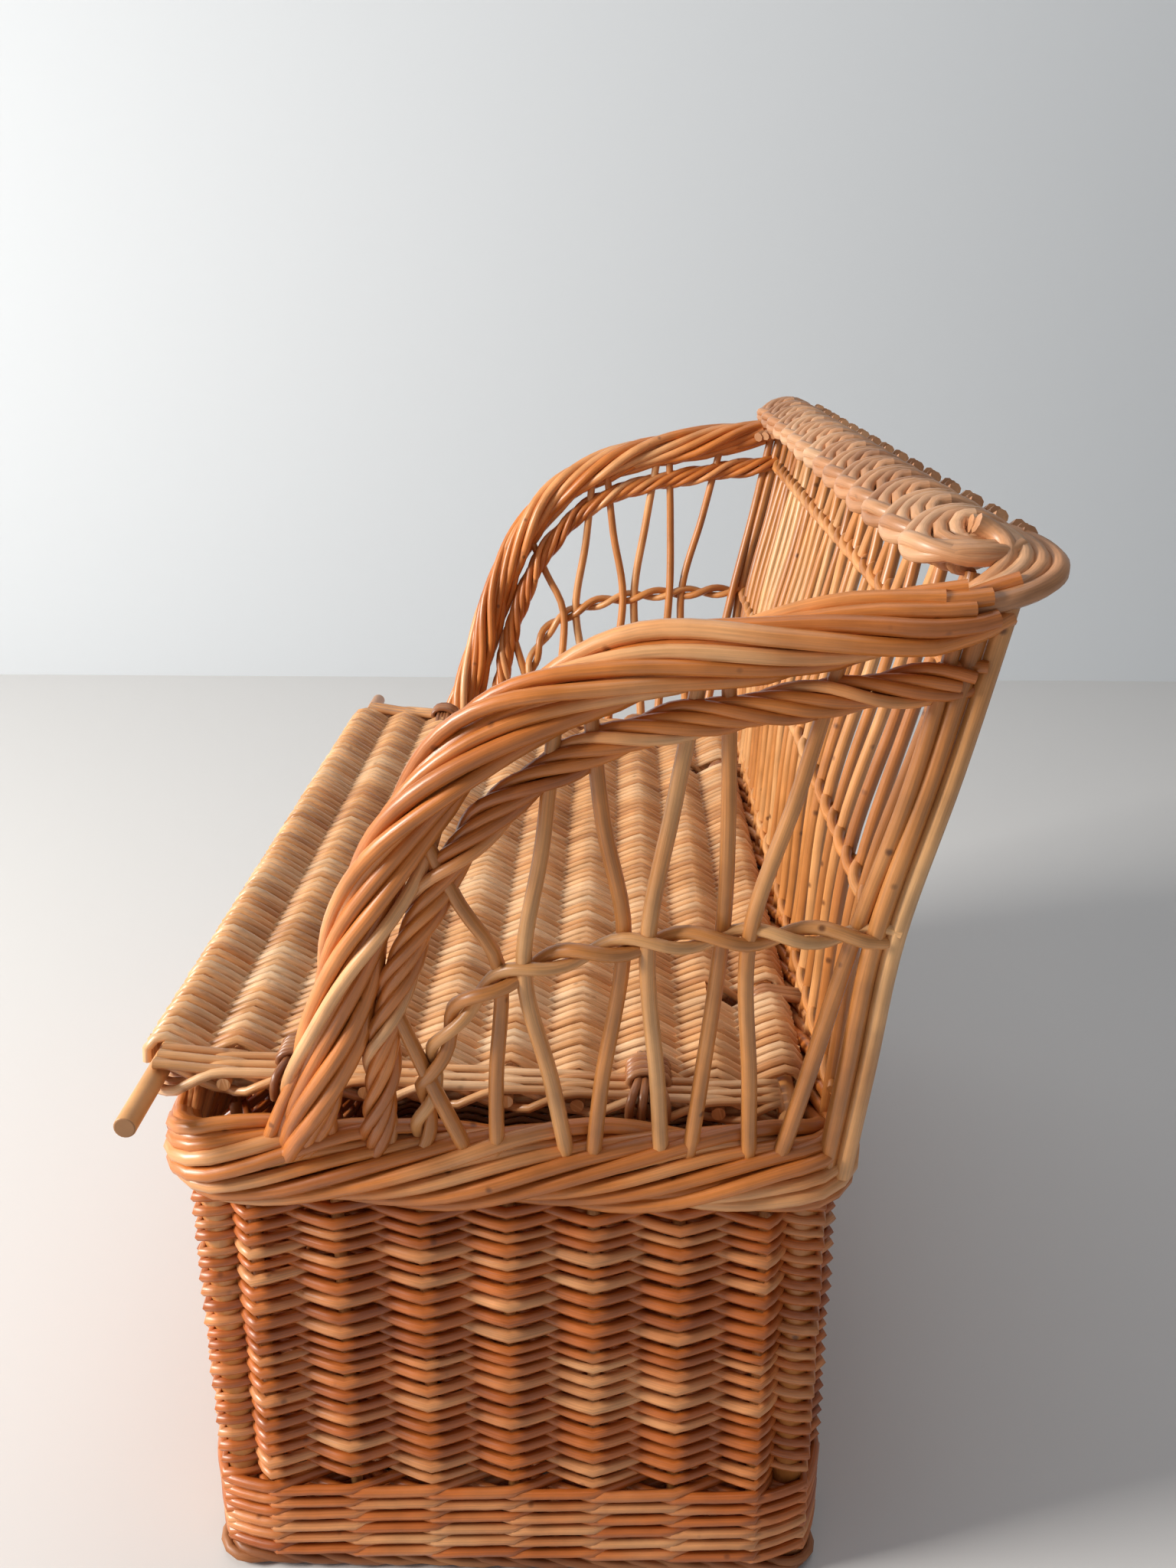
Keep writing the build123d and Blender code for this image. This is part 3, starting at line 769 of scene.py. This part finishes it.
@dataclass
class Lid:
    """The hinged seat lid."""

    slope: float = 3.14  # degrees, rising to the front
    reach: float = 0.3303  # from the back stick's axis to the front stick's
    pitches: int = 9
    half_weave: float = 0.306
    half_length: float = 0.332
    rib: float = 0.0036
    stick: float = 0.006
    weaver: float = 0.0029
    end_weaver: float = 0.0027
    end_weaver_start: float = 0.0062  # from the weave's end to the first row of waling
    end_weaver_pitch: float = 0.0082
    end_weaver_slant: float = 0.0036
    strand_pitch: float = 0.0048  # of a cane tie
    loop_room: float = 0.0095  # on each side of a hinge loop's middle
    tied_ribs: tuple[int, int] = (2, 7)

    def place(self) -> Matrix:
        """The lid's own frame: its origin on the back stick's axis, its weave towards -Y."""
        return Matrix.Translation(HINGE) @ Matrix.Rotation(math.radians(-self.slope), 4, "X")

    def sticks(self) -> list[float]:
        """Where the front stick, the ribs and the back stick lie across the lid."""
        return [-self.reach + i * self.reach / self.pitches for i in range(self.pitches + 1)]

    def radii(self) -> list[float]:
        """The radius of each of those sticks."""
        return [self.stick, *[self.rib] * (self.pitches - 1), self.stick]

    def weave(self) -> None:
        """Weaves the lid's middle."""
        gaps = [(x - self.loop_room, x + self.loop_room) for x in (-LOOPS_AT, LOOPS_AT)]
        panel = Panel(
            "lid_panel", SEAT, Body.LID, ("lid_weave",), self.sticks(), self.radii(),
            self.half_weave, 0.0041, self.weaver, self.place(), bulge=0.0026,
        )
        panel.build(gaps)

    def end_stroke(self, middle: float, out: int, phase: int) -> Line:
        """Runs one rod of an end's waling across the lid, over two sticks and under one.

        Args:
            middle: The X of its row's middle.
            out: The sign of X at that end.
            phase: At which stick it starts its stroke.

        Returns:
            Its line in the lid's own frame.
        """
        sticks, radii = self.sticks(), self.radii()
        line = []
        for i, (here, there) in enumerate(zip(sticks, sticks[1:])):
            near = -1 if (i + phase) % 3 == 0 else 1
            far = -1 if (i + 1 + phase) % 3 == 0 else 1
            for j in range(STEPS):
                t = j / STEPS
                share = 0.5 + 0.5 * math.cos(math.pi * t)
                height = near * (radii[i] + self.end_weaver) * share
                height += far * (radii[i + 1] + self.end_weaver) * (1 - share)
                slant = stroke_slant(((i + t + phase) % 3) / 3, self.end_weaver_slant)
                line.append(Vector((middle + out * slant, here + (there - here) * t, height)))
        line.append(Vector((middle, sticks[-1], -radii[-1] - 0.002)))
        return line

    def ends(self) -> None:
        """Lays the rows of waling at both ends, in long strokes over two ribs."""
        rng = random.Random(31)
        place = self.place()
        for side in Side:
            name = side.name.lower()
            work = RodWork(f"lid_end_waling_{name}", SEAT, Body.LID, (f"lid_end_band_{name}",))
            for row in range(3):
                middle = side.value * (self.half_weave + self.end_weaver_start + row * self.end_weaver_pitch)
                for strand in range(3):
                    line = self.end_stroke(middle, side.value, strand + row)
                    work.add([place @ p for p in line], self.end_weaver * rng.uniform(0.95, 1.12), 0.1)
            work.build()

    def sawn_sticks(self) -> None:
        """Makes the front and back sticks, slightly tapered, with rounded sawn ends."""
        for name, y, half, node in (
            ("lid_front_rail", -self.reach, 0.375, "lid_front_stick"),
            ("lid_back_rail", 0.0, 0.340, "lid_back_stick"),
        ):
            shape = bmesh.new()
            bmesh.ops.create_cone(
                shape, cap_ends=True, segments=20, radius1=self.stick, radius2=self.stick * 0.96, depth=2 * half,
                matrix=Matrix.Translation((0, y, 0)) @ Matrix.Rotation(math.radians(90), 4, "Y"),
            )
            settle_sawn(name, shape, 0, 0.0009, Body.LID, node)

    def tie_strand(self, y: float, k: int) -> Line:
        """Draws one of a tie's four strands on the right, out from the knot and down over the lid's edge."""
        off = (k - 1.5) * self.strand_pitch
        return [
            Vector((self.half_length + x, y + off * fan, z))
            for x, fan, z in (
                (-0.046, 0.5, 0.006), (-0.034, 0.6, 0.0098), (-0.020, 0.55, 0.0112), (-0.008, 0.8, 0.0108),
                (0.0012, 1.2, 0.0080), (0.0026, 1.35, 0.0010), (0.0018, 1.3, -0.0050),
            )
        ]

    def ties(self) -> None:
        """Ties the lid's ends with cane: a wrapped knot, and strands that bend down over the edge."""
        place = self.place()
        sticks = self.sticks()
        for side in Side:
            name = side.name.lower()
            rng = random.Random(41)
            work = RodWork(f"lid_cane_ties_{name}", CANE, Body.LID, (f"lid_ties_{name}",), facets=2)
            for rib in self.tied_ribs:
                y = sticks[rib]
                for k in range(4):
                    strand = flow(self.tie_strand(y, k), 0.003)
                    line = [place @ Vector((side.value * p.x, p.y, p.z)) for p in strand]
                    work.add(line, 0.0025 * rng.uniform(0.9, 1.08))
                for k in range(5):
                    x = self.half_length - 0.0285 + k * 0.0040
                    turn = []
                    for j in range(15):
                        angle = math.tau * j / 14 - 1.2
                        across, up = y + 0.0104 * math.cos(angle), 0.0098 + 0.0062 * math.sin(angle)
                        turn.append(place @ Vector((side.value * (x + 0.0016 * j / 14), across, up)))
                    work.add(turn, 0.0021)
            work.build()

    def build(self) -> None:
        """Builds the whole lid."""
        self.weave()
        self.ends()
        self.sawn_sticks()
        self.ties()


@dataclass
class HingeLoops:
    """Twisted cane loops that link the lid's back stick to the border behind it."""

    border: tuple[float, float, float] = (0, 0.170, 0.288)  # the middle of the loops' far half
    cane: float = 0.0024
    ring: float = 0.0092
    turn_pitch: float = 0.0052

    def build(self) -> None:
        """Winds three turns of cane at each place."""
        work = RodWork("hinge_cane", CANE, Body.CHEST, ("hinge_loops",), facets=2)
        near, far = Vector(HINGE), Vector(self.border)
        along = (far - near).normalized()
        across = Vector((0, -along.z, along.y))
        for x in (-LOOPS_AT, LOOPS_AT):
            for turn in (-1, 0, 1):
                line = []
                for i in range(28):
                    angle = math.tau * i / 27
                    middle = near if math.cos(angle) < 0 else far
                    point = middle + along * (self.ring * math.cos(angle)) + across * (self.ring * math.sin(angle))
                    line.append(point + Vector((x + turn * self.turn_pitch + 0.002 * math.sin(angle * 0.5), 0, 0)))
                work.add(line, self.cane)
        work.build()


# Arms and back


@dataclass
class Arm:
    """One arm: rail, inner wale, twined band, stakes and back corner rods."""

    side: Side

    def label(self, what: str) -> str:
        """Names a piece of this arm."""
        return f"{self.side.name.lower()}_{what}"

    def work(self, what: str, node: str, finish: Willow) -> RodWork:
        """Starts a piece of this arm."""
        return RodWork(self.label(what), finish, Body.CHEST, (self.label(node),), facets=2)

    def placed(self, rows: Rows) -> Line:
        """Reads millimetres of the right arm as metres of this one."""
        return [Vector((x * self.side.value, y, z)) * MM for x, y, z in rows]

    def lay(self, rope: Rope, work: RodWork, rows: Rows, step: float) -> None:
        """Lays a rope along some points in millimetres, in steps in metres."""
        path = flow(self.placed(rows), step)
        rope.lay_on(work, path, [Vector((self.side.value, 0, 0))] * len(path))

    def rail(self) -> None:
        """Lays the thick rail, whose rods fan out where they enter the border."""
        rows = [
            (352, -104, 286), (361, -94, 318), (370, -80, 362), (377, -62, 420), (383, -36, 474), (385, 4, 518),
            (386, 60, 545), (387, 125, 558), (387, 190, 571), (386, 222, 580),
        ]
        work = self.work("rail", "arm_rail", ROLLED)
        rope = Rope(
            groups=3, rods=4, radius=0.0042, wide=0.031, high=0.032, lay=0.29, turn=self.side.value, start=0.6,
            ragged=0.08, sink=0.20, shingle=0.34, seam=2.4, stepped=4,
        )
        self.lay(rope, work, rows, 0.009)
        for k in range(6):
            spread = (k - 2.5) * 7.2
            fan = [
                (354 - abs(spread) * 0.15, -104 + spread, 283), (358, -100 + spread * 0.75, 305),
                (364, -92 + spread * 0.45, 334), (370, -80 + spread * 0.25, 366), (377, -64 + spread * 0.2, 415),
            ]
            work.add(flow(self.placed(fan), 0.009), 0.0038, 0.15)
        work.build()

    def wale(self) -> None:
        """Lays the twisted wale under the rail."""
        rows = [
            (352, -64, 286), (360, -60, 320), (371, -54, 365), (379, -33, 427), (384, -6, 471), (385, 30, 503),
            (386, 75, 521), (386, 140, 533), (385, 222, 545),
        ]
        work = self.work("under_wale", "arm_under_band", ROLLED)
        rope = Rope(
            groups=2, rods=3, radius=0.0034, wide=0.0185, high=0.0185, lay=0.100, turn=self.side.value, sink=0.1,
            ragged=0.08, shingle=0.28, stepped=5,
        )
        self.lay(rope, work, rows, 0.006)
        work.build()

    def band(self) -> None:
        """Twines the band half way up, with its ends wrapped round the back corner."""
        rows = [
            (352, -42, 286), (358, -38, 315), (370, -29, 352), (378, -12, 384), (380, 18, 403), (380, 60, 414),
            (380, 110, 419), (380, 168, 421), (379, 184, 420),
        ]
        work = self.work("twined_band", "arm_mid_band", STICK)
        rope = Rope(
            groups=2, rods=1, radius=0.0036, wide=0.0145, high=0.0145, lay=0.058, turn=self.side.value, sink=0.0
        )
        self.lay(rope, work, rows, 0.005)
        work.build()

    def stakes(self) -> None:
        """Stands the arm's stakes in the border, crossing in pairs at the band."""
        rng = random.Random(53)
        work = self.work("crossing_stakes", "arm_stakes", STICK)
        # Each stake's foot, its place and height at the band, and its place and height in the rail
        stakes = [
            (-4, 1, 400, -30, 470), (34, 14, 402, 30, 532), (44, 59, 414, 43, 538), (80, 69, 415, 92, 552),
            (92, 105, 419, 102, 554), (124, 115, 419, 152, 564), (136, 166, 421, 198, 570),
        ]
        rods = [[(352, -13, 270), (365, -34, 330), (376, -50, 384)]]
        for foot, y, z, top, top_z in stakes:
            rods.append([
                (352, foot, 270), (366, foot + (y - foot) * 0.42, 335), (380 - 5 * (y > foot), y, z),
                (384, y + (top - y) * 0.55, z + (top_z - z) * 0.5), (385, top, top_z),
            ])
        for rows in rods:
            line = flow(wavering(self.placed(rows), rng, 0.0012), 0.010)
            work.add(line, 0.0042 * rng.uniform(0.92, 1.06), 0.18)
        work.build()

    def corner(self) -> None:
        """Stands the pair of rods at the back corner."""
        work = self.work("corner_rods", "back_post", STICK)
        rows = [(350, 167, 272), (366, 172, 345), (379, 178, 421), (384, 196, 500), (385, 212, 574)]
        for shift in (-4.6, 4.6):
            work.add(flow(self.placed([(x, y + shift, z) for x, y, z in rows]), 0.012), 0.0050, 0.12)
        work.build()

    def build(self) -> None:
        """Builds the whole arm."""
        self.rail()
        self.wale()
        self.band()
        self.stakes()
        self.corner()


@dataclass
class Backrest:
    """The leaning back: its rods, twined bands and the wide plait on top."""

    count: int = 27
    pitch: float = 0.0246
    fan: float = 1.09  # how much wider apart the rods stand at the top
    rod: float = 0.0041
    foot_z: float = 0.262
    middle_z: float = 0.421  # of the middle band, where the lean changes
    upper_z: float = 0.541  # of the upper band, over which the rods cross
    plait_units: int = 14
    plait_half: float = 0.338
    plait_y: float = 0.208
    plait_z: float = 0.5905
    plait_end: float = 0.378  # the X past which no rod of a crescent reaches
    plait_reach: float = 0.027  # from the plait's middle line to its edge
    crown: float = 0.0062  # how far its faces stand off its middle
    crown_fall: float = 0.0095  # how much less they do at the edge

    def lean(self, z: float) -> float:
        """How far back the rods stand at a height, below the middle band and over it."""
        below = 0.165 + (z - self.foot_z) / 0.159 * 0.0115
        return below if z < self.middle_z else 0.1765 + (z - self.middle_z) / 0.164 * 0.0375

    def stick_lines(self) -> list[Line]:
        """Works out where each rod runs: straight to the upper band, then crossing its neighbour.

        Returns:
            Each rod's points.
        """
        found = []
        for i in range(self.count):
            x = (i - (self.count - 1) / 2) * self.pitch
            cross = self.pitch * 0.42 * (1 if i % 2 else -1)
            line = []
            for z in (0.268, 0.330, self.middle_z, 0.500, self.upper_z, 0.578):
                spread = x * (1 + (self.fan - 1) * (z - self.foot_z) / 0.323)
                crossed = cross * (z - self.upper_z) / 0.037 if z > self.upper_z else 0
                line.append(Vector((spread + crossed, self.lean(z), z)))
            found.append(line)
        return found

    def rods(self) -> None:
        """Stands the rods."""
        rng = random.Random(61)
        work = RodWork("back_sticks", STICK, Body.CHEST, ("backrest_rods",), facets=2)
        for line in self.stick_lines():
            work.add(flow(wavering(line, rng, 0.0011), 0.014), self.rod * rng.uniform(0.9, 1.08), 0.16)
        work.build()

    def twined(self, where: str, z: float, half: float, radius: float, thick: float) -> None:
        """Twines one band across the rods.

        Args:
            where: Foot, mid or upper, as its piece and its node are named.
            z: Its height.
            half: Half its length.
            radius: The radius of each of its two rods.
            thick: How thick the band is.
        """
        work = RodWork(f"back_{where}_twining", STICK, Body.CHEST, (f"backrest_{where}_band",), facets=2)
        path = [Vector((-half + 2 * half * i / 150, self.lean(z), z)) for i in range(151)]
        rope = Rope(groups=2, rods=1, radius=radius, wide=thick, high=thick, lay=2 * self.pitch * 1.05, sink=0.0)
        rope.lay_on(work, path, [Vector((0, -1, 0))] * len(path))
        work.build()

    def plait(self) -> None:
        """Plaits the wide border on top: crescents of four nested rods that lap like scales, above and below."""
        rng = random.Random(71)
        work = RodWork("back_plait", PLAITED, Body.CHEST, ("plait",), facets=2)
        for face in (1, -1):
            for unit in range(self.plait_units + 1):
                middle = -self.plait_half + 2 * self.plait_half * unit / self.plait_units
                for ply in range(4):
                    line = [self.plait_at(p, middle, face) for p in self.crescent(ply, rng)]
                    work.add(flow(line, 0.006), 0.0040 * rng.uniform(0.9, 1.05), 0.06)
        for end in (1, -1):
            for ply in range(4):
                work.add(flow(self.end_loop(end, ply), 0.006), 0.0046 * rng.uniform(0.94, 1.05), 0.05)
        work.build()

    def end_loop(self, end: int, ply: int) -> Line:
        """Draws one rod that loops round an end of the plait and dips under it.

        Args:
            end: The sign of X at that end.
            ply: Which rod, 0 the innermost.

        Returns:
            Its points.
        """
        around = 0.0100 + 0.0070 * ply
        found = []
        for k in range(15):
            angle = math.radians(190 - 250 * k / 14)
            drop = 0.011 - 0.030 * (k / 14) ** 1.2
            place = Vector((end * (0.358 + around * math.cos(angle)), 0.211 + around * math.sin(angle), 0))
            found.append(place + Vector((0, 0, self.plait_z + drop - 0.0014 * ply)))
        return found

    @staticmethod
    def crescent(ply: int, rng: random.Random) -> Line:
        """Draws one rod of a crescent, round its own middle: from under its neighbour, round the front, to the back.

        Args:
            ply: Which rod, 0 the innermost.
            rng: The seeded source of chance.

        Returns:
            Its points, with Z as the height over the plait's own surface.
        """
        around = 0.0050 + 0.0070 * ply + rng.uniform(-0.0006, 0.0006)
        found = []
        for degrees in (50, 20, -10, -45, -80, -115, -150, -178):
            angle = math.radians(degrees)
            found.append(Vector((around * math.cos(angle), around * math.sin(angle), -0.0047 * math.cos(angle))))
        if ply:
            spread = 0.0018 * ply
            for back, forth in ((0.008, 0.000), (0.015, 0.002), (0.021, 0.005), (0.0265, 0.009), (0.028, 0.013)):
                found.append(Vector((-around - spread * back / 0.028 + forth, back, 0.0047 - forth * 0.5)))
        else:
            found.append(Vector((-around, 0.004, 0.0052)))
        return found

    def plait_at(self, point: Vector, middle: float, face: int) -> Vector:
        """Lays a point of the crescent at a middle on the plait's upper face, 1, or its lower one, -1."""
        crown = self.crown - self.crown_fall * min(1.0, abs(point.y) / self.plait_reach) ** 2
        return Vector((
            max(-self.plait_end, min(self.plait_end, middle + point.x)),
            self.plait_y + point.y,
            self.plait_z + face * (crown + point.z),
        ))

    def build(self) -> None:
        """Builds the whole back."""
        self.rods()
        self.twined("foot", 0.309, 0.333, 0.0029, 0.0112)
        self.twined("mid", self.middle_z, 0.378, 0.0033, 0.0135)
        self.twined("upper", self.upper_z, 0.384, 0.0033, 0.0135)
        self.plait()


# Room, camera, light


@dataclass
class Studio:
    """The plain floor and backdrop, the lamps and the camera."""

    floor: Colour = (0.70, 0.69, 0.68)
    wall: Colour = (0.63, 0.66, 0.69)
    wall_x: float = -1.6
    lens: float = 31.64
    eye: tuple[float, float, float] = (0.947, 0.056, 0.695)
    pitch: float = 19.66  # degrees that the camera looks down
    yaw: float = 1.32  # degrees that it turns towards the front
    aim: float = 0.3  # the height that the lamps face

    def room(self) -> None:
        """Lays the floor and stands the backdrop behind the chest, in plain pale finishes."""
        upright = Matrix.Translation((self.wall_x, 0, 0)) @ Matrix.Rotation(math.radians(90), 4, "Y")
        for name, colour, matrix in (("floor", self.floor, Matrix.Identity(4)), ("backdrop", self.wall, upright)):
            mat = bpy.data.materials.new(name)
            mat.use_nodes = True
            shader = mat.node_tree.nodes["Principled BSDF"]
            shader.inputs["Base Color"].default_value = (*colour, 1)
            shader.inputs["Roughness"].default_value = 0.9
            shape = bmesh.new()
            bmesh.ops.create_grid(shape, x_segments=1, y_segments=1, size=6.0)
            bmesh.ops.transform(shape, matrix=matrix, verts=shape.verts)
            mesh = bpy.data.meshes.new(name)
            shape.to_mesh(mesh)
            shape.free()
            mesh.materials.append(mat)
            piece = bpy.data.objects.new(name, mesh)
            bpy.context.scene.collection.objects.link(piece)

    @staticmethod
    def hang(name: str, data: bpy.types.ID, place: Vector, ahead: Vector) -> bpy.types.Object:
        """Puts a lamp or camera in its place.

        Args:
            name: Its name.
            data: What it is.
            place: Where it hangs.
            ahead: The way that it looks.

        Returns:
            The object.
        """
        made = bpy.data.objects.new(name, data)
        made.location = place
        made.rotation_mode = "QUATERNION"
        made.rotation_quaternion = ahead.to_track_quat("-Z", "Y")
        bpy.context.scene.collection.objects.link(made)
        return made

    def lamp(self, name: str, place: Vector, size: float, power: float, colour: Colour) -> None:
        """Hangs one soft square lamp that faces the chest.

        Args:
            name: Its name.
            place: Where it hangs.
            size: Its side.
            power: Its watts.
            colour: Its colour.
        """
        data = bpy.data.lights.new(name, "AREA")
        data.size = size
        data.energy = power
        data.color = colour
        self.hang(name, data, place, Vector((0, 0, self.aim)) - place)

    def camera(self) -> None:
        """Sets the camera where the view was taken from."""
        data = bpy.data.cameras.new("view")
        data.lens = self.lens
        data.sensor_width = 36
        pitch, yaw = math.radians(self.pitch), math.radians(self.yaw)
        ahead = Vector((-math.cos(pitch) * math.cos(yaw), -math.cos(pitch) * math.sin(yaw), -math.sin(pitch)))
        bpy.context.scene.camera = self.hang("view", data, Vector(self.eye), ahead)

    def light(self) -> None:
        """Hangs the lamps: a large soft one at the chest's front, like a window, and weaker ones round it."""
        self.lamp("window", Vector((0.78, -2.7, 1.4)), 0.9, 134.0, (1.0, 0.965, 0.91))
        self.lamp("above", Vector((0.2, 0.2, 2.8)), 1.8, 14.0, (0.98, 0.99, 1.0))
        self.lamp("behind_view", Vector((2.4, 0.9, 1.0)), 1.6, 3.5, (0.95, 0.97, 1.0))
        world = bpy.data.worlds.new("room_light")
        world.use_nodes = True
        world.node_tree.nodes["Background"].inputs["Color"].default_value = (0.9, 0.94, 1.0, 1)
        world.node_tree.nodes["Background"].inputs["Strength"].default_value = 0.17
        bpy.context.scene.world = world

    def build(self) -> None:
        """Sets up the whole studio."""
        self.room()
        self.camera()
        self.light()
        bpy.context.scene.view_settings.view_transform = "Standard"


def dress_nodes() -> None:
    """Gives the CAD nodes that stay in sight their willow."""
    finishes = {w.slot: w for w in (WALL, BASE, SEAT, ROLLED, STICK, CANE)}
    slots = {s["node"]: s["material_slot"] for s in frame["record"]["subparts"]}
    for name, piece in frame["nodes"].items():
        mat = finishes[slots[name]].material()
        if not piece.data.materials:
            piece.data.materials.append(mat)
        for slot in piece.material_slots:
            slot.material = mat


def main() -> None:
    """Builds the chest, its lid and the studio."""
    logging.basicConfig(level=logging.INFO, format="%(message)s")
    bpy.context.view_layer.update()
    dress_nodes()
    basket = Basket()
    steps = [
        ("wall weave", basket.weave), ("waling", basket.waling), ("posts", basket.posts), ("border", basket.border),
        ("foot", basket.foot_ring), ("base", build_base), ("lid", Lid().build), ("hinge loops", HingeLoops().build),
        ("right arm", Arm(Side.RIGHT).build), ("left arm", Arm(Side.LEFT).build), ("back", Backrest().build),
        ("studio", Studio().build),
    ]
    for name, step in steps:
        step()
        LOG.info("built %s", name)


if __name__ == "__main__":
    main()
